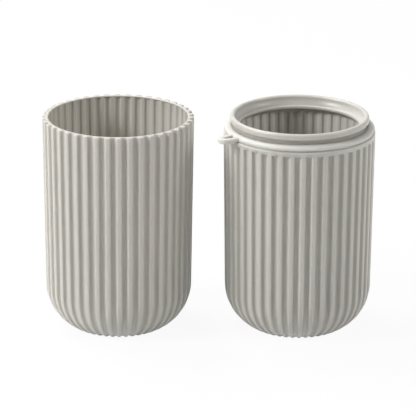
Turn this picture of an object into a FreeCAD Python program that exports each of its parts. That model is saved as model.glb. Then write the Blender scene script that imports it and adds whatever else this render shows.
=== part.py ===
import FreeCAD, Part
import math
import os

from FreeCAD import Vector

# A travel toothbrush holder in two ribbed halves, shown open: the cover stands mouth up beside
# the base, and turned over it closes on the base's neck to make one long capsule.
# Millimetres, +Z up. The origin is on the table, midway between the two cups.
# +X runs from the cover to the base, and -Y is the side that carries the pull loop.

os.makedirs("parts", exist_ok=True)

# Driving dimensions: the two cups
CUP_GAP = 14.0              # between the two cups as they stand
MOUTH_RADIUS = 36.0         # over the rib crests at the mouth of either cup
DRAFT = 0.77                # lean of the walls, in degrees
BEND_RADIUS = 23.3          # of the round between wall and foot
FOOT_INSET = 14.4           # from the mouth in to the edge of the flat underneath
COVER_HEIGHT = 103.9        # foot to rim of the cover
BASE_HEIGHT = 97.4          # foot to rim of the base cup, below its neck
COVER_WEB = 1.05            # wall left between the valleys outside and the lands inside the cover
FLOOR = 3.0                 # thickness of a cup's bottom
FLOOR_INSET = 1.5           # from the edge of the foot in to the edge of the flat inside

# Driving dimensions: the ribs
RIB_COUNT = 42
RIB_DEPTH = 1.8             # crest to valley outside, all the way up the wall
FOOT_SCALLOP = 1.5          # crest to valley along the edge of the foot
GROOVE_DEPTH = 0.8          # of the grooves inside, one behind each rib
COVER_RIB_TURN = 2.0        # degrees from the front to the nearest crest
BASE_RIB_TURN = 1.6
BAND_HEIGHT = 2.2           # smooth band at the base's rim, where the ribs end
FLUTE_FADE = 1.0            # length over which the valleys run out under the band
# Half a rib as control points: how far from the valley's middle to the crest's, and how high
RIB_SHAPE = ((0.0, 0.0), (0.40, 0.0), (0.55, 0.05), (0.46, 1.15), (0.62, 1.0), (1.0, 1.0))

# Driving dimensions: rims
COVER_RIM_ROUND = 0.4       # outer edge of the cover's rim
COVER_LEAD_IN = 0.4         # inner edge of the cover's rim, which finds the neck
MOUTH_LAND = 0.3            # smooth stretch inside the cover's mouth, above the grooves
GROOVE_FADE = 0.4           # length over which the grooves run out below it
BAND_ROUND = 0.6            # upper edge of the base's band

# Driving dimensions: the neck collar
TONGUE_SETBACK = 1.7        # from the band in to the collar's tongue
TONGUE_WIDTH = 1.0
TONGUE_DEPTH = 2.0          # how deep the tongue plugs into the base's rim
TONGUE_FIT = 0.03           # each side, between the tongue and its slot
TONGUE_RELIEF = 0.2         # under the tongue
SLOT_LIP = 0.7              # wall left between the slot and the grooves inside the base
FLANGE_HEIGHT = 0.5         # thin stop that sits on the base's rim
FLANGE_SETBACK = 0.7        # from the band back to the stop's edge
NECK_SETBACK = 1.1          # from the bead in to the neck, where the ring sits
NECK_WALL = 1.3
BEAD_FIT = 0.15             # all round, between the neck's bead and the cover's lands
BEAD_HEIGHT = 3.0
BEAD_FLAT = 0.2             # level top of the bead, between its two rounded edges
BEAD_UNDERCUT = 0.5         # lower edge of the bead
GROOVE_HEIGHT = 2.1         # open neck between the ring and the bead
LEDGE_DROP = 4.6            # from the top of the neck to the ledge inside
LEDGE_THICKNESS = 1.5
LEDGE_WIDTH = 2.2

# Driving dimensions: the seal ring and its pull loop
RING_HEIGHT = 2.2
RING_FIT = 0.05             # all round, between the ring and the neck
RING_INSET = 0.3            # from the band in to the ring's edge
RING_EDGE = 0.5             # lower edge round of the ring
RING_SHOULDER = 0.9         # height of the ring's upright side
RING_CROWN = 2.3            # from the ring's edge in to where its top turns level
LOOP_ANGLE = 29.0           # from the row of cups towards the front, in degrees
LOOP_REACH = 8.1            # from the ring's edge to the loop's tip
LOOP_STRAND = 2.7           # width of the loop's strands
LOOP_HOLE_ROUND = 0.6       # corners of the loop's hole
LOOP_ROOT = 1.3             # from the ring's edge in to the hole's inner corners
LOOP_ROOT_HALF = 1.4        # half the spread of those corners
LOOP_EDGE = 0.5             # rounded edges of the loop
CLOSED_GAP = 0.15           # between the ring's top and the rim of the closed cover

# Heights and radii that follow
COVER_X = -MOUTH_RADIUS - CUP_GAP / 2
BASE_X = MOUTH_RADIUS + CUP_GAP / 2
FOOT_RADIUS = MOUTH_RADIUS - FOOT_INSET
COVER_WALL = RIB_DEPTH + COVER_WEB
LAND_RADIUS = MOUTH_RADIUS - COVER_WALL
TONGUE_OUTER = MOUTH_RADIUS - TONGUE_SETBACK
TONGUE_INNER = TONGUE_OUTER - TONGUE_WIDTH
BASE_WALL = TONGUE_SETBACK + TONGUE_WIDTH + SLOT_LIP + GROOVE_DEPTH
RING_BOTTOM = BASE_HEIGHT + FLANGE_HEIGHT
RING_TOP = RING_BOTTOM + RING_HEIGHT
BEAD_BOTTOM = RING_TOP + GROOVE_HEIGHT
NECK_TOP = BEAD_BOTTOM + BEAD_HEIGHT
BEAD_RADIUS = LAND_RADIUS - BEAD_FIT
NECK_RADIUS = BEAD_RADIUS - NECK_SETBACK
NECK_BORE = NECK_RADIUS - NECK_WALL
BEAD_ROUND = (BEAD_RADIUS - NECK_BORE - BEAD_FLAT) / 2
RING_RADIUS = MOUTH_RADIUS - RING_INSET
CLOSED_RIM = RING_TOP + CLOSED_GAP
TURN_HEIGHT = (COVER_HEIGHT + CLOSED_RIM) / 2
HALF_PITCH = math.pi / RIB_COUNT
LEAN = math.radians(DRAFT)
OVERCUT = 1.0               # how far a cutting shape runs past the face it opens
SEAM = 0.001                # faces whose edges lie this close are joined
CORNER_WEIGHT = math.sqrt(0.5)  # of the middle control point of a quarter round

# A cup's side is drawn as two profiles, one along the crests and one along the valleys. A profile
# is made of stretches, and a stretch is a list of control points (radius, height, weight): two
# for a straight stretch, three for an arc.


def bend_centre(mouth, foot, bend, bottom, height):
    """Radius and height of the point that the round between a bottom and a wall turns about."""
    slope = math.tan(LEAN)
    start = mouth - (height - bottom) * slope - bend / math.cos(LEAN)
    reach = foot - start
    root = math.sqrt((slope * reach) ** 2 - (1 + slope ** 2) * (reach ** 2 - bend ** 2))
    rise = (slope * reach + root) / (1 + slope ** 2)
    return start + rise * slope, bottom + rise


def arc_stretch(centre, radius, first_angle, last_angle):
    """Arc about a point of the profile, from one angle to another, measured from level."""
    half = (last_angle - first_angle) / 2
    middle = first_angle + half
    corner = radius / math.cos(half)
    points = []
    for angle, reach, weight in (
        (first_angle, radius, 1.0),
        (middle, corner, math.cos(half)),
        (last_angle, radius, 1.0),
    ):
        points.append((centre[0] + reach * math.cos(angle), centre[1] + reach * math.sin(angle), weight))
    return points


def up_the_wall(start, rise):
    """Point of a leaning wall that lies higher than another by a rise."""
    return (start[0] + rise * math.tan(LEAN), start[1] + rise, 1.0)


def cup_profile(depth, foot, bottom, height, top):
    """A cup's side, set in by a depth from the crests: the bend up from its bottom, then the wall."""
    mouth = MOUTH_RADIUS - depth
    bend = BEND_RADIUS - depth
    centre = bend_centre(mouth, foot, bend, bottom, height)
    first_angle = math.atan2(bottom - centre[1], foot - centre[0])
    round_part = arc_stretch(centre, bend, first_angle, -LEAN)
    wall_foot = round_part[-1]
    return [round_part, [wall_foot, up_the_wall(wall_foot, top - wall_foot[1])]]


def outer_profiles(height, top):
    """Crest and valley profiles of a cup's outside."""
    crest = cup_profile(0.0, FOOT_RADIUS, 0.0, height, top)
    valley = cup_profile(RIB_DEPTH, FOOT_RADIUS - FOOT_SCALLOP, 0.0, height, top)
    return crest, valley


def inner_profiles(height, wall, top):
    """Groove and land profiles of a cup's inside."""
    floor_radius = FOOT_RADIUS - FLOOR_INSET
    groove = cup_profile(wall - GROOVE_DEPTH, floor_radius + GROOVE_DEPTH, FLOOR, height, top)
    land = cup_profile(wall, floor_radius, FLOOR, height, top)
    return groove, land


def edge_round(profile, size, side):
    """Quarter round on the top end of a profile; side is -1 towards the axis and 1 away from it."""
    start = profile[-1][-1]
    corner = (start[0], start[1] + size, CORNER_WEIGHT)
    return [start, corner, (start[0] + side * size, start[1] + size, 1.0)]


def half_rib(crest, valley, side):
    """Control points of an outline from the valley beside a rib up to its crest, at the front."""
    points = []
    for place, height in RIB_SHAPE:
        from_valley = HALF_PITCH * place
        from_crest = HALF_PITCH - from_valley
        reach = valley + (crest - valley) * height
        # Points level with an end lie on the tangent there, so that neighbours meet smoothly.
        if height == 0:
            reach = valley / math.cos(from_valley)
        if height == 1:
            reach = crest / math.cos(from_crest)
        angle = side * from_crest
        points.append(Vector(reach * math.sin(angle), -reach * math.cos(angle), 0))
    return points


def around(shape, turn):
    """Copies of a shape, one for each rib."""
    copies = []
    for rib in range(RIB_COUNT):
        copy = shape.copy()
        copy.rotate(Vector(0, 0, 0), Vector(0, 0, 1), turn + 360.0 * rib / RIB_COUNT)
        copies.append(copy)
    return copies


def ribbed_skin(crest, valley, turn):
    """Faces that follow a stretch of the crest profile and the same stretch of the valley profile."""
    faces = []
    for side in (-1, 1):
        surface = Part.BezierSurface()
        surface.increase(len(RIB_SHAPE) - 1, len(crest) - 1)
        for row, (high, low) in enumerate(zip(crest, valley)):
            for column, spot in enumerate(half_rib(high[0], low[0], side)):
                share = RIB_SHAPE[column][1]
                spot.z = low[1] + (high[1] - low[1]) * share
                weight = low[2] + (high[2] - low[2]) * share
                surface.setPole(column + 1, row + 1, spot, weight)
        faces += around(surface.toShape(), turn)
    return faces


def ribbed_sides(crest, valley, turn):
    """Faces along whole profiles."""
    faces = []
    for high, low in zip(crest, valley):
        faces += ribbed_skin(high, low, turn)
    return faces


def ribbed_wire(high, low, turn):
    """Level closed outline through a point of the crest profile and one of the valley profile."""
    edges = []
    for side in (-1, 1):
        curve = Part.BezierCurve()
        curve.setPoles(half_rib(high[0], low[0], side))
        edge = curve.toShape()
        edge.translate(Vector(0, 0, high[1]))
        edges += around(edge, turn)
    return Part.Wire(Part.__sortEdges__(edges))


def round_wire(radius, z):
    return Part.Wire([Part.makeCircle(radius, Vector(0, 0, z))])


def flat_face(wires):
    """Level face inside the first outline and outside the second, if there is one."""
    return Part.makeFace(wires, "Part::FaceMakerBullseye")


def closed_solid(faces, x):
    """Solid bounded by the faces, moved to its place along the row."""
    shell = Part.makeCompound(faces)
    shell.sewShape(SEAM)
    solid = Part.Solid(shell.Shells[0])
    if solid.Volume < 0:
        solid.reverse()
    solid.translate(Vector(x, 0, 0))
    return solid


def revolved(edges):
    """Solid of revolution about Z of a closed outline drawn in the XZ plane."""
    face = Part.Face(Part.Wire(edges))
    return face.revolve(Vector(0, 0, 0), Vector(0, 0, 1), 360)


def line(start, end):
    return Part.LineSegment(Vector(start[0], 0, start[1]), Vector(end[0], 0, end[1])).toShape()


def quarter(start, centre, end):
    """Arc of the given centre from start to end, the short way round, in the XZ plane."""
    radius = math.hypot(start[0] - centre[0], start[1] - centre[1])
    mid_x = (start[0] + end[0]) / 2 - centre[0]
    mid_z = (start[1] + end[1]) / 2 - centre[1]
    scale = radius / math.hypot(mid_x, mid_z)
    middle = Vector(centre[0] + mid_x * scale, 0, centre[1] + mid_z * scale)
    return Part.Arc(Vector(start[0], 0, start[1]), middle, Vector(end[0], 0, end[1])).toShape()


def make_cover_cup():
    """The cover, which is also the rinsing cup: ribbed right up to its rim, and grooved inside."""
    turn = COVER_RIB_TURN
    crest, valley = outer_profiles(COVER_HEIGHT, COVER_HEIGHT - COVER_RIM_ROUND)
    crest.append(edge_round(crest, COVER_RIM_ROUND, -1))
    valley.append(edge_round(valley, COVER_RIM_ROUND, -1))
    groove_top = COVER_HEIGHT - COVER_LEAD_IN - MOUTH_LAND - GROOVE_FADE
    groove, land = inner_profiles(COVER_HEIGHT, COVER_WALL, groove_top)
    land_foot = up_the_wall(land[-1][-1], GROOVE_FADE)
    land_top = up_the_wall(land_foot, MOUTH_LAND)
    for profile in (groove, land):
        profile.append([profile[-1][-1], land_foot])
        profile.append([land_foot, land_top])
        profile.append(edge_round(profile, COVER_LEAD_IN, 1))
    outer_rim = ribbed_wire(crest[-1][-1], valley[-1][-1], turn)
    inner_rim = ribbed_wire(groove[-1][-1], land[-1][-1], turn)
    faces = ribbed_sides(crest, valley, turn) + ribbed_sides(groove, land, turn)
    faces.append(flat_face([outer_rim, inner_rim]))
    faces.append(flat_face([ribbed_wire(groove[0][0], land[0][0], turn)]))
    faces.append(flat_face([ribbed_wire(crest[0][0], valley[0][0], turn)]))
    return closed_solid(faces, COVER_X)


def make_base_cup():
    """The base: a like cup with a smooth band at the rim and a slot there for the collar."""
    turn = BASE_RIB_TURN
    band_bottom = BASE_HEIGHT - BAND_HEIGHT
    crest, valley = outer_profiles(BASE_HEIGHT, band_bottom - FLUTE_FADE)
    band_foot = up_the_wall(crest[-1][-1], FLUTE_FADE)
    band_top = up_the_wall(band_foot, BAND_HEIGHT - BAND_ROUND)
    for profile in (crest, valley):
        profile.append([profile[-1][-1], band_foot])
        profile.append([band_foot, band_top])
        profile.append(edge_round(profile, BAND_ROUND, -1))
    groove, land = inner_profiles(BASE_HEIGHT, BASE_WALL, BASE_HEIGHT)
    outer_rim = ribbed_wire(crest[-1][-1], valley[-1][-1], turn)
    inner_rim = ribbed_wire(groove[-1][-1], land[-1][-1], turn)
    faces = ribbed_sides(crest, valley, turn) + ribbed_sides(groove, land, turn)
    slot_depth = TONGUE_DEPTH + TONGUE_RELIEF
    slot_rims = []
    slot_floors = []
    for radius in (TONGUE_OUTER + TONGUE_FIT, TONGUE_INNER - TONGUE_FIT):
        rim = round_wire(radius, BASE_HEIGHT)
        slot_rims.append(rim)
        slot_floors.append(round_wire(radius, BASE_HEIGHT - slot_depth))
        faces += rim.extrude(Vector(0, 0, -slot_depth)).Faces
    faces.append(flat_face([outer_rim, slot_rims[0]]))
    faces.append(flat_face(slot_floors))
    faces.append(flat_face([slot_rims[1], inner_rim]))
    faces.append(flat_face([ribbed_wire(groove[0][0], land[0][0], turn)]))
    faces.append(flat_face([ribbed_wire(crest[0][0], valley[0][0], turn)]))
    return closed_solid(faces, BASE_X)


def make_neck_collar():
    """Ring moulding on the base's rim: tongue, thin stop, neck, bead and a ledge inside."""
    ledge_top = NECK_TOP - LEDGE_DROP
    ledge_bottom = ledge_top - LEDGE_THICKNESS
    ledge_radius = NECK_BORE - LEDGE_WIDTH
    tongue_bottom = BASE_HEIGHT - TONGUE_DEPTH
    flange_radius = MOUTH_RADIUS - FLANGE_SETBACK
    undercut = BEAD_RADIUS - BEAD_UNDERCUT
    crown_in = (NECK_BORE + BEAD_ROUND, NECK_TOP)
    crown_out = (BEAD_RADIUS - BEAD_ROUND, NECK_TOP)
    edges = [
        line((TONGUE_INNER, tongue_bottom), (TONGUE_OUTER, tongue_bottom)),
        line((TONGUE_OUTER, tongue_bottom), (TONGUE_OUTER, BASE_HEIGHT)),
        line((TONGUE_OUTER, BASE_HEIGHT), (flange_radius, BASE_HEIGHT)),
        line((flange_radius, BASE_HEIGHT), (flange_radius, RING_BOTTOM)),
        line((flange_radius, RING_BOTTOM), (NECK_RADIUS, RING_BOTTOM)),
        line((NECK_RADIUS, RING_BOTTOM), (NECK_RADIUS, BEAD_BOTTOM)),
        line((NECK_RADIUS, BEAD_BOTTOM), (undercut, BEAD_BOTTOM)),
        quarter((undercut, BEAD_BOTTOM), (undercut, BEAD_BOTTOM + BEAD_UNDERCUT),
                (BEAD_RADIUS, BEAD_BOTTOM + BEAD_UNDERCUT)),
        line((BEAD_RADIUS, BEAD_BOTTOM + BEAD_UNDERCUT), (BEAD_RADIUS, NECK_TOP - BEAD_ROUND)),
        quarter((BEAD_RADIUS, NECK_TOP - BEAD_ROUND), (crown_out[0], NECK_TOP - BEAD_ROUND),
                crown_out),
        line(crown_out, crown_in),
        quarter(crown_in, (crown_in[0], NECK_TOP - BEAD_ROUND), (NECK_BORE, NECK_TOP - BEAD_ROUND)),
        line((NECK_BORE, NECK_TOP - BEAD_ROUND), (NECK_BORE, ledge_top)),
        line((NECK_BORE, ledge_top), (ledge_radius, ledge_top)),
        line((ledge_radius, ledge_top), (ledge_radius, ledge_bottom)),
        line((ledge_radius, ledge_bottom), (NECK_BORE, ledge_bottom)),
        line((NECK_BORE, ledge_bottom), (NECK_BORE, BASE_HEIGHT)),
        line((NECK_BORE, BASE_HEIGHT), (TONGUE_INNER, BASE_HEIGHT)),
        line((TONGUE_INNER, BASE_HEIGHT), (TONGUE_INNER, tongue_bottom)),
    ]
    collar = revolved(edges)
    collar.translate(Vector(BASE_X, 0, 0))
    return collar


def loop_outline(spread, z):
    """Rounded triangle about the loop's three corner points, widened all round by a spread."""
    root = RING_RADIUS - LOOP_ROOT
    tip = RING_RADIUS + LOOP_REACH - LOOP_HOLE_ROUND - LOOP_STRAND
    corners = [
        Vector(root, -LOOP_ROOT_HALF, z),
        Vector(tip, 0, z),
        Vector(root, LOOP_ROOT_HALF, z),
    ]
    up = Vector(0, 0, 1)
    edges = []
    for index in range(len(corners)):
        before = corners[index - 1]
        here = corners[index]
        after = corners[(index + 1) % len(corners)]
        normal_in = (here - before).cross(up).normalize()
        normal_out = (after - here).cross(up).normalize()
        bisector = (normal_in + normal_out).normalize()
        edges.append(Part.Arc(here + normal_in * spread, here + bisector * spread,
                              here + normal_out * spread).toShape())
        edges.append(Part.LineSegment(here + normal_out * spread,
                                      after + normal_out * spread).toShape())
    return Part.Face(Part.Wire(edges))


def make_seal_ring():
    """Soft ring round the neck that the closed cover presses on, with a loop to pull it off by."""
    bore = NECK_RADIUS + RING_FIT
    side_top = RING_BOTTOM + RING_SHOULDER
    crown_radius = RING_RADIUS - RING_CROWN
    slope = math.radians(45)
    shoulder = Vector(crown_radius + RING_CROWN * math.cos(slope), 0,
                      side_top + (RING_TOP - side_top) * math.sin(slope))
    crown = Part.Arc(Vector(RING_RADIUS, 0, side_top), shoulder, Vector(crown_radius, 0, RING_TOP))
    lower = RING_RADIUS - RING_EDGE
    ring = revolved([
        line((bore, RING_BOTTOM), (lower, RING_BOTTOM)),
        quarter((lower, RING_BOTTOM), (lower, RING_BOTTOM + RING_EDGE),
                (RING_RADIUS, RING_BOTTOM + RING_EDGE)),
        line((RING_RADIUS, RING_BOTTOM + RING_EDGE), (RING_RADIUS, side_top)),
        crown.toShape(),
        line((crown_radius, RING_TOP), (bore, RING_TOP)),
        line((bore, RING_TOP), (bore, RING_BOTTOM)),
    ])
    loop = loop_outline(LOOP_HOLE_ROUND + LOOP_STRAND, RING_BOTTOM).extrude(Vector(0, 0, RING_HEIGHT))
    flat_edges = []
    for edge in loop.Edges:
        if abs(edge.Vertexes[0].Z - edge.Vertexes[-1].Z) < OVERCUT:
            flat_edges.append(edge)
    loop = loop.makeFillet(LOOP_EDGE, flat_edges)
    hole = loop_outline(LOOP_HOLE_ROUND, RING_BOTTOM - OVERCUT)
    hole = hole.extrude(Vector(0, 0, RING_HEIGHT + 2 * OVERCUT))
    clear_neck = Part.makeCylinder(bore, RING_HEIGHT + 2 * OVERCUT, Vector(0, 0, RING_BOTTOM - OVERCUT))
    ring = ring.fuse(loop).cut(hole).cut(clear_neck)
    ring.rotate(Vector(0, 0, 0), Vector(0, 0, 1), 180 + LOOP_ANGLE)
    ring.translate(Vector(BASE_X, 0, 0))
    return ring


MAKERS = {
    "cover_cup": make_cover_cup,
    "base_cup": make_base_cup,
    "neck_collar": make_neck_collar,
    "seal_ring": make_seal_ring,
}

for node, maker in MAKERS.items():
    shape = maker()
    if len(shape.Solids) == 1:
        shape = shape.Solids[0]
    shape.exportStep("parts/" + node + ".step")
    box = shape.BoundBox
    print(node, shape.ShapeType, "valid" if shape.isValid() else "NOT VALID",
          "volume %.1f" % shape.Volume, "faces %d" % len(shape.Faces),
          "x %.2f..%.2f y %.2f..%.2f z %.2f..%.2f"
          % (box.XMin, box.XMax, box.YMin, box.YMax, box.ZMin, box.ZMax))

print("cover turns about x 0, z %.3f and closes with its rim at z %.3f" % (TURN_HEIGHT, CLOSED_RIM))
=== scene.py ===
import math

import bpy
import numpy as np
from mathutils import Matrix, Vector


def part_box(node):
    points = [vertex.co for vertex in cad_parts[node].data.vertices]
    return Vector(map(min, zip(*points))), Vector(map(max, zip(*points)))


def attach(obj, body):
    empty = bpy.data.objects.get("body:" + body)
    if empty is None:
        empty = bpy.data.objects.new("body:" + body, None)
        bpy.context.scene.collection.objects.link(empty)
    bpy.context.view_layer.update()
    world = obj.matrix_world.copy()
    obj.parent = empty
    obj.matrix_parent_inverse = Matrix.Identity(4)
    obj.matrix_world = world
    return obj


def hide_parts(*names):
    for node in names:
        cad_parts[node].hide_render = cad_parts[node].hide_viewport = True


# Looks of a travel toothbrush holder: a ribbed cover standing beside a ribbed base with a smooth
# neck and a soft ring. Metres, in the frame of the solids: +Z up, the cover at -X, the base at +X.

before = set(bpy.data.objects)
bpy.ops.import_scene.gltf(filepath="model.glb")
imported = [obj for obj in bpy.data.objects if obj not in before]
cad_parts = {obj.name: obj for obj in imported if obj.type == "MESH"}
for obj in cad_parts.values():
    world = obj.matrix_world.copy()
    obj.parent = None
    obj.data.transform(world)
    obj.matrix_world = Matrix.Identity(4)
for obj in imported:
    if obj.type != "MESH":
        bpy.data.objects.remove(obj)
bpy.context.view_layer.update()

# Places from the frame
cover_low, cover_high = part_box("cover_cup")
base_low, base_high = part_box("base_cup")
collar_low, collar_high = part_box("neck_collar")
ring_low, ring_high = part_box("seal_ring")
COVER_X = (cover_low.x + cover_high.x) / 2
BASE_X = (base_low.x + base_high.x) / 2
COVER_HEIGHT = cover_high.z
BASE_HEIGHT = base_high.z
NECK_TOP = collar_high.z
RING_BOTTOM = ring_low.z
RING_TOP = ring_high.z

# The two cups
MOUTH_RADIUS = 0.0360
LEAN = math.radians(0.77)
BEND_RADIUS = 0.0233
FOOT_RADIUS = 0.0216
COVER_WALL = 0.00285
BASE_WALL = 0.0042
FLOOR = 0.0030
FLOOR_INSET = 0.0015

# The ribs
RIB_COUNT = 42
RIB_DEPTH = 0.0018
FOOT_SCALLOP = 0.0015
GROOVE_DEPTH = 0.0008
# Control points of half a rib: place from the valley's middle to the crest's, and height
RIB_SHAPE = ((0.0, 0.0), (0.40, 0.0), (0.55, 0.05), (0.46, 1.15), (0.62, 1.0), (1.0, 1.0))
COVER_RIB_TURN = math.radians(2.0)
BASE_RIB_TURN = math.radians(1.6)
BAND_HEIGHT = 0.0022
FLUTE_FADE = 0.0010

# Rims
COVER_RIM_ROUND = 0.0004
COVER_LEAD_IN = 0.0004
MOUTH_LAND = 0.0003
GROOVE_FADE = 0.0004
BAND_ROUND = 0.0006
BASE_INNER_ROUND = 0.0003

# The neck collar
TONGUE_INNER = 0.0333
TONGUE_OUTER = 0.0343
SLOT_FIT = 0.00005          # each side, between the tongue and its slot in the base's rim
SLOT_RELIEF = 0.0002        # under the tongue
FLANGE_RADIUS = 0.0353
NECK_RADIUS = 0.0319
NECK_BORE = 0.0306
BEAD_RADIUS = 0.0330
BEAD_HEIGHT = 0.0030
BEAD_ROUND = 0.0011
BEAD_UNDERCUT = 0.0005
LEDGE_RADIUS = 0.0284
LEDGE_DROP = 0.0046
LEDGE_THICKNESS = 0.0015
LEDGE_ROUND = 0.0004

# The seal ring and its pull loop
RING_RADIUS = 0.0357
RING_BORE = 0.03195
RING_EDGE = 0.0005
RING_LIFT = 0.00003         # a hair that keeps the turning ring clear of the stop under it
RING_SHOULDER = 0.0009
RING_CROWN = 0.0334
LOOP_ANGLE = math.radians(29.0)
LOOP_TIP = 0.0438
LOOP_STRAND = 0.0027
LOOP_ROOT = 0.0344
LOOP_ROOT_HALF = 0.0014
LOOP_SUNK = 0.0018          # how far the strands' ends reach into the ring, short of its bore
LOOP_HOLE_ROUND = 0.0006
LOOP_EDGE = 0.0005
LOOP_TOP_DROP = 0.0007      # from the ring's top down to the loop's
LOOP_HANG = 0.0008          # how far the loop hangs under the ring, outside the base's band
LOOP_HANG_RUN = 0.0030      # over this length out from the ring's edge

# How finely the meshes are divided
RIB_STEPS = 12              # along each flank of a rib
BEND_STEPS = 18
WALL_STEPS = 16
ROUND_STEPS = 5
LOOP_STEPS = 16             # round the loop's tip
STRAND_STEPS = 10           # along each of its strands
CROWN_STEPS = 10            # over the ring's rounded shoulder
TURN_STEPS = 288            # round the smooth pieces

# Camera and light
SENSOR_WIDTH = 36.0
CAMERA_DISTANCE = 1.6
CAMERA_RISE = math.radians(18.8)
CAMERA_LENS = 289.5
CAMERA_ROLL = math.radians(0.3)
CAMERA_AIM = Vector((-0.0002, 0.0, 0.058))
SKY_LIGHT = 0.05
LAMP_AIM = (0.0, 0.0, 0.05)
KEY_PLACE = (-1.2, -0.5, 0.9)
KEY_SIZE = 0.6
KEY_POWER = 19.0
FILL_PLACE = (1.25, -0.38, 0.8)
FILL_SIZE = 0.6
FILL_POWER = 9.0
TOP_PLACE = (-0.5, 0.5, 1.1)
TOP_SIZE = 0.7
TOP_POWER = 13.0

# The ground and the sky: white to the camera apart from a faint shadow
WHITE_STRENGTH = 1.0
GROUND_REACH = 3.0
GROUND_COLOUR = (0.85, 0.85, 0.85)
GROUND_GLOW = 0.93

# Finish
CUP_PALE = (0.56, 0.545, 0.505)
CUP_DARK = (0.53, 0.515, 0.475)
# The ring's colours are partly its own rubber grey and partly painted light: they are raised to make up
# for the shade that falls on the ring.
RING_PALE_PLUS_PAINTED_LIGHT = (0.65, 0.635, 0.60)
RING_DARK_PLUS_PAINTED_LIGHT = (0.62, 0.605, 0.57)
CUP_ROUGHNESS = 0.36
COLLAR_ROUGHNESS = 0.32
RING_ROUGHNESS = 0.50
ROUGHNESS_SPREAD = 0.05
CUP_GRAIN = 0.25
COLLAR_GRAIN = 0.15
RING_GRAIN = 0.20
GRAIN_HEIGHT = 0.00005
DRIFT_SCALE = 35.0          # slow drift of the shade
DRIFT_DETAIL = 4.0
PATCH_SCALE = 160.0         # patches of uneven gloss
PATCH_DETAIL = 3.0
GRAIN_SCALE = 3000.0
GRAIN_DETAIL = 2.0
PLASTIC_IOR = 1.46
TRANSLUCENCY = 0.25
TRANSLUCENT_DEPTH = 0.003
TRANSLUCENT_TINT = (1.0, 0.9, 0.75)


# Shapes: rings of points that run along a profile

def bend_centre(mouth, foot, bend, bottom, height):
    """Radius and height of the point that the round between a bottom and a wall turns about."""
    slope = math.tan(LEAN)
    start = mouth - (height - bottom) * slope - bend / math.cos(LEAN)
    reach = foot - start
    root = math.sqrt((slope * reach) ** 2 - (1 + slope ** 2) * (reach ** 2 - bend ** 2))
    rise = (slope * reach + root) / (1 + slope ** 2)
    return start + rise * slope, bottom + rise


def arc(centre, radius, first_angle, last_angle, steps):
    """Points of a profile along an arc, angles measured from level."""
    points = []
    for step in range(steps + 1):
        angle = first_angle + (last_angle - first_angle) * step / steps
        points.append((centre[0] + radius * math.cos(angle), centre[1] + radius * math.sin(angle)))
    return points


def cup_side(depth, foot, bottom, height, top):
    """Points of a cup's side, set in by a depth from the crests: the bend up, then the wall."""
    bend = BEND_RADIUS - depth
    centre = bend_centre(MOUTH_RADIUS - depth, foot, bend, bottom, height)
    first_angle = math.atan2(bottom - centre[1], foot - centre[0])
    points = arc(centre, bend, first_angle, -LEAN, BEND_STEPS)
    radius, z = points[-1]
    for step in range(1, WALL_STEPS + 1):
        rise = (top - z) * step / WALL_STEPS
        points.append((radius + rise * math.tan(LEAN), z + rise))
    return points


def rounded_top(points, size, side):
    """Quarter round on the top end of a side; side is -1 towards the axis and 1 away from it."""
    radius, z = points[-1]
    rounds = []
    for step in range(1, ROUND_STEPS + 1):
        angle = math.pi / 2 * step / ROUND_STEPS
        rounds.append((radius + side * size * (1 - math.cos(angle)), z + size * math.sin(angle)))
    return points + rounds


def outer_sides(height, top):
    """Crest and valley sides of a cup's outside."""
    crest = cup_side(0.0, FOOT_RADIUS, 0.0, height, top)
    valley = cup_side(RIB_DEPTH, FOOT_RADIUS - FOOT_SCALLOP, 0.0, height, top)
    return crest, valley


def inner_sides(height, wall, top):
    """Groove and land sides of a cup's inside."""
    floor_radius = FOOT_RADIUS - FLOOR_INSET
    groove = cup_side(wall - GROOVE_DEPTH, floor_radius + GROOVE_DEPTH, FLOOR, height, top)
    land = cup_side(wall, floor_radius, FLOOR, height, top)
    return groove, land


def rib_columns(turn):
    """For each column round a cup, what a valley and a crest radius are multiplied by."""
    half = math.pi / RIB_COUNT
    degree = len(RIB_SHAPE) - 1
    flank = []
    for step in range(RIB_STEPS + 1):
        t = step / RIB_STEPS
        valley_part = np.zeros(2)
        crest_part = np.zeros(2)
        for index, (place, height) in enumerate(RIB_SHAPE):
            angle = half * (place - 1)
            way = np.array((math.sin(angle), -math.cos(angle)))
            # Points in the valley or on the crest lie on the tangent there, so that ribs meet smoothly.
            if height == 0:
                way = way / math.cos(half * place)
            if height == 1:
                way = way / math.cos(angle)
            pull = math.comb(degree, index) * t ** index * (1 - t) ** (degree - index)
            valley_part += pull * (1 - height) * way
            crest_part += pull * height * way
        flank.append((valley_part, crest_part))
    # The far flank mirrors the near one, from the crest down to the next valley.
    rib = flank[:]
    for valley_part, crest_part in flank[-2:0:-1]:
        rib.append((valley_part * (-1, 1), crest_part * (-1, 1)))
    valley_all = []
    crest_all = []
    for count in range(RIB_COUNT):
        angle = turn + 2 * math.pi * count / RIB_COUNT
        rotation = np.array(((math.cos(angle), -math.sin(angle)), (math.sin(angle), math.cos(angle))))
        valley_all += [rotation @ part for part, _ in rib]
        crest_all += [rotation @ part for _, part in rib]
    return np.array(valley_all), np.array(crest_all)


def smooth_columns():
    """The same for a smooth piece, where crest and valley are one."""
    angles = np.arange(TURN_STEPS) * (2 * math.pi / TURN_STEPS)
    spots = np.stack((np.sin(angles), -np.cos(angles)), axis=1)
    return spots * 0.5, spots * 0.5


def make_object(name, vertices, faces):
    """A smooth-shaded mesh in the scene."""
    mesh = bpy.data.meshes.new(name)
    mesh.from_pydata(vertices, [], faces)
    mesh.validate()
    mesh.shade_smooth()
    made = bpy.data.objects.new(name, mesh)
    bpy.context.scene.collection.objects.link(made)
    return made


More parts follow.
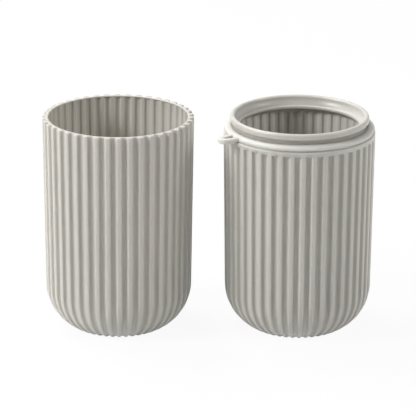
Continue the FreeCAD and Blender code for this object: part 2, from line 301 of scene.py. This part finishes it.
def turned_mesh(rows, columns, closed):
    """Vertices and faces of rows of (crest radius, crest z, valley radius, valley z).

    A closed profile joins its last row to its first; an open one is capped by a fan at each end.
    """
    valley_parts, crest_parts = columns
    count = len(valley_parts)
    valley_share = np.linalg.norm(valley_parts, axis=1)
    crest_share = np.linalg.norm(crest_parts, axis=1)
    share = valley_share / (valley_share + crest_share)
    vertices = []
    for crest, crest_z, valley, valley_z in rows:
        flat = valley_parts * valley + crest_parts * crest
        heights = valley_z * share + crest_z * (1 - share)
        vertices += [(x, y, z) for (x, y), z in zip(flat, heights)]
    faces = []
    spans = len(rows) if closed else len(rows) - 1
    for row in range(spans):
        here = row * count
        above = (row + 1) % len(rows) * count
        for column in range(count):
            beside = (column + 1) % count
            faces.append((here + column, here + beside, above + beside, above + column))
    if not closed:
        for row, forward in ((0, False), (len(rows) - 1, True)):
            middle = len(vertices)
            vertices.append((0.0, 0.0, rows[row][1]))
            for column in range(count):
                one = row * count + column
                other = row * count + (column + 1) % count
                faces.append((one, other, middle) if forward else (other, one, middle))
    return vertices, faces


def paired(crest, valley):
    """Rows for turned_mesh, from the points of a crest side and of a valley side."""
    return [(high[0], high[1], low[0], low[1]) for high, low in zip(crest, valley)]


def moved(vertices, x):
    """Vertices carried from the middle of the row to a cup's axis."""
    return [(spot[0] + x, spot[1], spot[2]) for spot in vertices]


def run_out(smooth, sunk, length):
    """Ends a sunk side on the smooth one beside it, in a hollow that turns out to meet it."""
    smooth_end = smooth[-1]
    sunk_end = sunk[-1]
    for step in range(1, ROUND_STEPS + 1):
        angle = math.pi / 2 * step / ROUND_STEPS
        rise = length * math.sin(angle)
        radius = smooth_end[0] + rise * math.tan(LEAN)
        share = 1 - math.cos(angle)
        smooth.append((radius, smooth_end[1] + rise))
        sunk.append((sunk_end[0] + (radius - sunk_end[0]) * share, sunk_end[1] + rise))


def make_cover():
    """The cover: ribs right up to the rounded rim, and grooves inside that end below the mouth."""
    outer = outer_sides(COVER_HEIGHT, COVER_HEIGHT - COVER_RIM_ROUND)
    outer = [rounded_top(side, COVER_RIM_ROUND, -1) for side in outer]
    groove_top = COVER_HEIGHT - COVER_LEAD_IN - MOUTH_LAND - GROOVE_FADE
    groove, land = inner_sides(COVER_HEIGHT, COVER_WALL, groove_top)
    run_out(land, groove, GROOVE_FADE)
    mouth_top = (land[-1][0] + MOUTH_LAND * math.tan(LEAN), land[-1][1] + MOUTH_LAND)
    for side in (groove, land):
        side.append(mouth_top)
    inner = [rounded_top(side, COVER_LEAD_IN, 1) for side in (groove, land)]
    rows = paired(*outer) + paired(*inner)[::-1]
    vertices, faces = turned_mesh(rows, rib_columns(COVER_RIB_TURN), False)
    return make_object("cover_shell", moved(vertices, COVER_X), faces)


def make_base():
    """The base: the same with a smooth band at the rim, above the flutes, and the collar's slot."""
    band_bottom = BASE_HEIGHT - BAND_HEIGHT
    crest, valley = outer_sides(BASE_HEIGHT, band_bottom - FLUTE_FADE)
    run_out(crest, valley, FLUTE_FADE)
    band_top = (MOUTH_RADIUS, BASE_HEIGHT - BAND_ROUND)
    band = rounded_top([crest[-1], band_top], BAND_ROUND, -1)
    crest += band[1:]
    valley += band[1:]
    groove, land = inner_sides(BASE_HEIGHT, BASE_WALL, BASE_HEIGHT - BASE_INNER_ROUND)
    groove = rounded_top(groove, BASE_INNER_ROUND, 1)
    land = rounded_top(land, BASE_INNER_ROUND, 1)
    slot_bottom = collar_low.z - SLOT_RELIEF
    slot = [(TONGUE_OUTER + SLOT_FIT, BASE_HEIGHT), (TONGUE_OUTER + SLOT_FIT, slot_bottom),
            (TONGUE_INNER - SLOT_FIT, slot_bottom), (TONGUE_INNER - SLOT_FIT, BASE_HEIGHT)]
    rows = paired(crest, valley) + paired(slot, slot) + paired(groove, land)[::-1]
    vertices, faces = turned_mesh(rows, rib_columns(BASE_RIB_TURN), False)
    return make_object("base_shell", moved(vertices, BASE_X), faces)


def quarter(corner, radius_sign, z_sign, size):
    """Points of a round in a corner of a profile, from the upright side on to the level one."""
    centre = (corner[0] - radius_sign * size, corner[1] - z_sign * size)
    points = []
    for step in range(ROUND_STEPS + 1):
        angle = math.pi / 2 * step / ROUND_STEPS
        points.append((centre[0] + radius_sign * size * math.cos(angle),
                       centre[1] + z_sign * size * math.sin(angle)))
    return points


def make_collar():
    """Neck with its bead, the stop under it and the ledge inside."""
    bead_bottom = NECK_TOP - BEAD_HEIGHT
    ledge_top = NECK_TOP - LEDGE_DROP
    ledge_bottom = ledge_top - LEDGE_THICKNESS
    profile = [(TONGUE_INNER, collar_low.z), (TONGUE_OUTER, collar_low.z), (TONGUE_OUTER, BASE_HEIGHT),
               (FLANGE_RADIUS, BASE_HEIGHT), (FLANGE_RADIUS, RING_BOTTOM), (NECK_RADIUS, RING_BOTTOM),
               (NECK_RADIUS, bead_bottom)]
    profile += quarter((BEAD_RADIUS, bead_bottom), 1, -1, BEAD_UNDERCUT)[::-1]
    profile += quarter((BEAD_RADIUS, NECK_TOP), 1, 1, BEAD_ROUND)
    profile += quarter((NECK_BORE, NECK_TOP), -1, 1, BEAD_ROUND)[::-1]
    profile.append((NECK_BORE, ledge_top))
    profile += quarter((LEDGE_RADIUS, ledge_top), -1, 1, LEDGE_ROUND)[::-1]
    profile += quarter((LEDGE_RADIUS, ledge_bottom), -1, -1, LEDGE_ROUND)
    profile += [(NECK_BORE, ledge_bottom), (NECK_BORE, BASE_HEIGHT), (TONGUE_INNER, BASE_HEIGHT)]
    rows = paired(profile, profile)
    vertices, faces = turned_mesh(rows, smooth_columns(), True)
    return make_object("collar", moved(vertices, BASE_X), faces)


def loop_path():
    """Middle line of the pull loop, from one root round the tip to the other root."""
    bend = LOOP_HOLE_ROUND + LOOP_STRAND / 2
    tip_centre = LOOP_TIP - LOOP_STRAND / 2 - bend
    root = Vector((LOOP_ROOT - LOOP_SUNK, -LOOP_ROOT_HALF - bend, 0.0))
    tilt = math.atan2(LOOP_ROOT_HALF, tip_centre - LOOP_ROOT)
    tip = []
    for step in range(LOOP_STEPS + 1):
        angle = (math.pi / 2 - tilt) * (2 * step / LOOP_STEPS - 1)
        tip.append(Vector((tip_centre + bend * math.cos(angle), bend * math.sin(angle), 0.0)))
    near_strand = [root.lerp(tip[0], step / STRAND_STEPS) for step in range(STRAND_STEPS)]
    far_strand = [Vector((spot.x, -spot.y, 0.0)) for spot in reversed(near_strand)]
    return near_strand + tip + far_strand


def loop_section():
    """Outline of a strand: place across, 0 at the underside or 1 at the top, and the edge's rise."""
    half_width = LOOP_STRAND / 2 - LOOP_EDGE
    section = []
    for corner, (across, up) in enumerate(((1, 0), (1, 1), (-1, 1), (-1, 0))):
        for step in range(ROUND_STEPS + 1):
            angle = math.pi / 2 * (corner - 1 + step / ROUND_STEPS)
            section.append((across * half_width + LOOP_EDGE * math.cos(angle), up,
                            LOOP_EDGE * math.sin(angle)))
    return section


def loop_mesh(ring_bottom):
    """Vertices and faces of the loop: its section carried along its path, capped at both roots."""
    path = loop_path()
    section = loop_section()
    size = len(section)
    turn = math.pi + LOOP_ANGLE
    loop_top = RING_TOP - LOOP_TOP_DROP - LOOP_EDGE
    vertices = []
    for index, spot in enumerate(path):
        before = path[max(index - 1, 0)]
        after = path[min(index + 1, len(path) - 1)]
        way = (after - before).normalized()
        side = Vector((way.y, -way.x, 0.0))
        share = min(max((spot.length - RING_RADIUS) / LOOP_HANG_RUN, 0.0), 1.0)
        loop_bottom = ring_bottom - LOOP_HANG * share ** 2 * (3 - 2 * share) + LOOP_EDGE
        for across, up, rise in section:
            flat = spot + side * across
            vertices.append((flat.x * math.cos(turn) - flat.y * math.sin(turn),
                             flat.x * math.sin(turn) + flat.y * math.cos(turn),
                             loop_bottom + (loop_top - loop_bottom) * up + rise))
    last = len(vertices) - size
    faces = []
    for here in range(0, last, size):
        for corner in range(size):
            beside = (corner + 1) % size
            faces.append((here + corner, here + size + corner, here + size + beside, here + beside))
    faces.append(tuple(range(size)))
    faces.append(tuple(range(last + size - 1, last - 1, -1)))
    return vertices, faces


def make_ring():
    """Soft ring with a rounded shoulder, and the loop that stands out of it."""
    side_top = RING_BOTTOM + RING_SHOULDER
    bottom = RING_BOTTOM + RING_LIFT
    profile = [(RING_BORE, RING_TOP), (RING_BORE, bottom)]
    profile += quarter((RING_RADIUS, bottom), 1, -1, RING_EDGE)[::-1]
    crown_run = RING_RADIUS - RING_CROWN
    crown_rise = RING_TOP - side_top
    for step in range(CROWN_STEPS + 1):
        angle = math.pi / 2 * step / CROWN_STEPS
        profile.append((RING_CROWN + crown_run * math.cos(angle), side_top + crown_rise * math.sin(angle)))
    vertices, faces = turned_mesh(paired(profile, profile), smooth_columns(), True)
    first = len(vertices)
    loop_vertices, loop_faces = loop_mesh(bottom)
    vertices += loop_vertices
    faces += [tuple(first + corner for corner in face) for face in loop_faces]
    return make_object("ring", moved(vertices, BASE_X), faces)


# Materials

def new_material(name):
    """A material with its nodes, their links and its main shader."""
    material = bpy.data.materials.new(name)
    material.use_nodes = True
    nodes = material.node_tree.nodes
    return material, nodes, material.node_tree.links, nodes["Principled BSDF"]


def noise(nodes, links, scale, detail):
    """Noise that is fixed to the piece."""
    place = nodes.new("ShaderNodeTexCoord")
    texture = nodes.new("ShaderNodeTexNoise")
    texture.inputs["Scale"].default_value = scale
    texture.inputs["Detail"].default_value = detail
    links.new(place.outputs["Object"], texture.inputs["Vector"])
    return texture.outputs["Fac"]


def moulded_plastic(name, pale, dark, roughness, grain):
    """Satin moulded plastic: a faint drift of shade, uneven gloss and a fine grain."""
    material, nodes, links, shader = new_material(name)
    shade = nodes.new("ShaderNodeMix")
    shade.data_type = "RGBA"
    shade.inputs["A"].default_value = (*dark, 1.0)
    shade.inputs["B"].default_value = (*pale, 1.0)
    links.new(noise(nodes, links, DRIFT_SCALE, DRIFT_DETAIL), shade.inputs["Factor"])
    links.new(shade.outputs["Result"], shader.inputs["Base Color"])
    gloss = nodes.new("ShaderNodeMapRange")
    gloss.inputs["To Min"].default_value = roughness - ROUGHNESS_SPREAD
    gloss.inputs["To Max"].default_value = roughness + ROUGHNESS_SPREAD
    links.new(noise(nodes, links, PATCH_SCALE, PATCH_DETAIL), gloss.inputs["Value"])
    links.new(gloss.outputs["Result"], shader.inputs["Roughness"])
    bump = nodes.new("ShaderNodeBump")
    bump.inputs["Strength"].default_value = grain
    bump.inputs["Distance"].default_value = GRAIN_HEIGHT
    links.new(noise(nodes, links, GRAIN_SCALE, GRAIN_DETAIL), bump.inputs["Height"])
    links.new(bump.outputs["Normal"], shader.inputs["Normal"])
    shader.inputs["IOR"].default_value = PLASTIC_IOR
    shader.inputs["Subsurface Weight"].default_value = TRANSLUCENCY
    shader.inputs["Subsurface Radius"].default_value = TRANSLUCENT_TINT
    shader.inputs["Subsurface Scale"].default_value = TRANSLUCENT_DEPTH
    return material


# Stage

def seen_directly(nodes, links):
    """1 for rays that show the background: from the camera, mirrored or let through."""
    path = nodes.new("ShaderNodeLightPath")
    seen = path.outputs["Is Camera Ray"]
    for ray in ("Is Glossy Ray", "Is Transmission Ray"):
        either = nodes.new("ShaderNodeMath")
        either.operation = "MAXIMUM"
        links.new(seen, either.inputs[0])
        links.new(path.outputs[ray], either.inputs[1])
        seen = either.outputs["Value"]
    return seen


def make_floor():
    """Wide white ground that keeps a trace of the shadow."""
    mesh = bpy.data.meshes.new("floor")
    corners = [(x * GROUND_REACH, y * GROUND_REACH, 0.0) for x, y in ((-1, -1), (1, -1), (1, 1), (-1, 1))]
    mesh.from_pydata(corners, [], [(0, 1, 2, 3)])
    floor = bpy.data.objects.new("floor", mesh)
    bpy.context.scene.collection.objects.link(floor)
    material, nodes, links, shader = new_material("floor_white")
    nodes.remove(shader)
    cloth = nodes.new("ShaderNodeBsdfDiffuse")
    cloth.inputs["Color"].default_value = (*GROUND_COLOUR, 1.0)
    glow = nodes.new("ShaderNodeEmission")
    glow.inputs["Strength"].default_value = WHITE_STRENGTH
    seen = seen_directly(nodes, links)
    share = nodes.new("ShaderNodeMath")
    share.operation = "MULTIPLY"
    share.inputs[1].default_value = GROUND_GLOW
    links.new(seen, share.inputs[0])
    mix = nodes.new("ShaderNodeMixShader")
    links.new(share.outputs["Value"], mix.inputs["Fac"])
    links.new(cloth.outputs["BSDF"], mix.inputs[1])
    links.new(glow.outputs["Emission"], mix.inputs[2])
    links.new(mix.outputs["Shader"], nodes["Material Output"].inputs["Surface"])
    mesh.materials.append(material)


def make_sky():
    """White background that lights the cups only dimly."""
    world = bpy.data.worlds.new("studio")
    bpy.context.scene.world = world
    world.use_nodes = True
    nodes = world.node_tree.nodes
    links = world.node_tree.links
    seen = seen_directly(nodes, links)
    level = nodes.new("ShaderNodeMapRange")
    level.inputs["To Min"].default_value = SKY_LIGHT
    level.inputs["To Max"].default_value = WHITE_STRENGTH
    links.new(seen, level.inputs["Value"])
    links.new(level.outputs["Result"], nodes["Background"].inputs["Strength"])
    nodes["Background"].inputs["Color"].default_value = (1.0, 1.0, 1.0, 1.0)


def make_lamp(name, place, size, power):
    """Square lamp that faces the middle of the row of cups."""
    data = bpy.data.lights.new(name, "AREA")
    data.shape = "SQUARE"
    data.size = size
    data.energy = power
    lamp = bpy.data.objects.new(name, data)
    bpy.context.scene.collection.objects.link(lamp)
    lamp.location = place
    lamp.rotation_euler = (Vector(LAMP_AIM) - Vector(place)).to_track_quat("-Z", "Y").to_euler()


def make_camera():
    """Camera in front of the row of cups, a little above it."""
    data = bpy.data.cameras.new("camera")
    data.lens = CAMERA_LENS
    data.sensor_width = SENSOR_WIDTH
    camera = bpy.data.objects.new("camera", data)
    bpy.context.scene.collection.objects.link(camera)
    back = Vector((0.0, -math.cos(CAMERA_RISE), math.sin(CAMERA_RISE)))
    camera.location = CAMERA_AIM + back * CAMERA_DISTANCE
    aimed = (-back).to_track_quat("-Z", "Y").to_matrix()
    rolled = aimed @ Matrix.Rotation(CAMERA_ROLL, 3, "Z")
    camera.rotation_euler = rolled.to_euler()
    bpy.context.scene.camera = camera


# Assembly

cup_finish = moulded_plastic("cup_plastic", CUP_PALE, CUP_DARK, CUP_ROUGHNESS, CUP_GRAIN)
collar_finish = moulded_plastic("collar_plastic", CUP_PALE, CUP_DARK, COLLAR_ROUGHNESS, COLLAR_GRAIN)
# The ring's finish carries painted light in its raised colours.
ring_finish = moulded_plastic("ring_rubber", RING_PALE_PLUS_PAINTED_LIGHT, RING_DARK_PLUS_PAINTED_LIGHT, RING_ROUGHNESS, RING_GRAIN)

for piece, node, body, slot, finish in (
    (make_cover(), "cover_cup", "cover", "cup_plastic", cup_finish),
    (make_base(), "base_cup", "base", "cup_plastic", cup_finish),
    (make_collar(), "neck_collar", "base", "collar_plastic", collar_finish),
    (make_ring(), "seal_ring", "ring", "ring_rubber", ring_finish),
):
    piece.data.materials.append(finish)
    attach(piece, body)
    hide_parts(node)

make_floor()
make_sky()
make_lamp("key", KEY_PLACE, KEY_SIZE, KEY_POWER)
make_lamp("fill", FILL_PLACE, FILL_SIZE, FILL_POWER)
make_lamp("top", TOP_PLACE, TOP_SIZE, TOP_POWER)
make_camera()
bpy.context.scene.view_settings.view_transform = "Standard"
